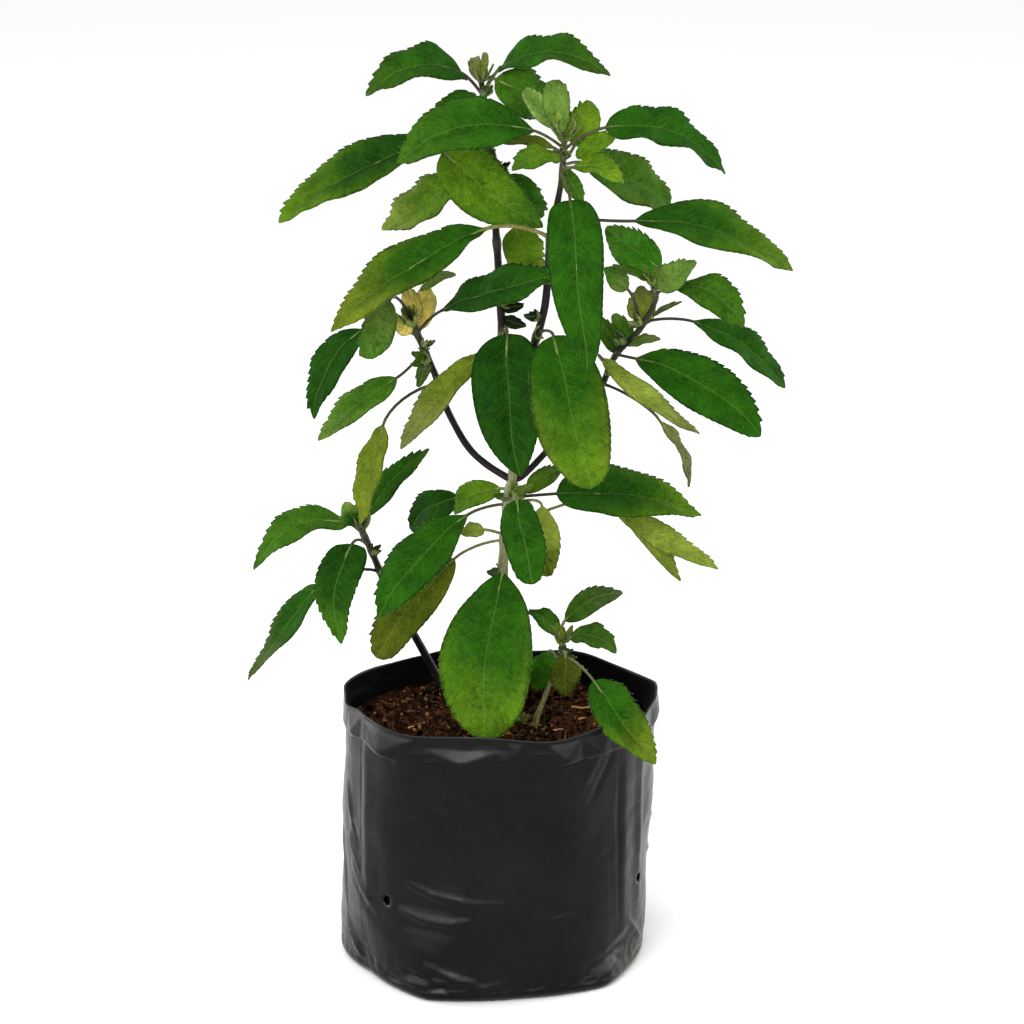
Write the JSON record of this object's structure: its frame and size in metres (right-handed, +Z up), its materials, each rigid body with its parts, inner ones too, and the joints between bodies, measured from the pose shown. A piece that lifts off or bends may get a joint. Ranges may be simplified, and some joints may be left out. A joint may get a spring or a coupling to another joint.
{
  "type": "potted plant",
  "caption": "Bushy branching basil plant with long toothed leaves on dark stems, standing with a basal shoot and a seedling in the soil of a black film grow bag.",
  "frame": {"origin": "middle of the bag's flat bottom, where it rests on the ground", "axes": "+Z up along the plant, +Y towards the back, +X to the right as seen from the front"},
  "size_m": [0.2349, 0.1368, 0.4106],
  "materials": {
    "film": "black polythene film, creased, with a satin sheen",
    "soil": "coarse reddish brown potting mix of bark and coir",
    "trunk_leaves": "dark green matt leaves on a dark stem",
    "left_leaves": "green and olive matt leaves on a purple black stem",
    "right_leaves": "green matt leaves on a purple black stem",
    "centre_left_leaves": "green and olive matt leaves on a purple brown stem",
    "centre_right_leaves": "dark green matt leaves on a purple brown stem",
    "basal_leaves": "green matt leaves on a purple black stem",
    "seedling_leaves": "pale green matt leaves on thin green stems"
  },
  "bodies": {
    "root": {"grow_bag": "film", "soil": "soil", "trunk": "trunk_leaves", "shoot_left": "left_leaves", "shoot_right": "right_leaves", "shoot_centre_left": "centre_left_leaves", "shoot_centre_right": "centre_right_leaves", "basal_shoot_left": "basal_leaves", "seedling_right": "seedling_leaves"}
  },
  "joints": []
}
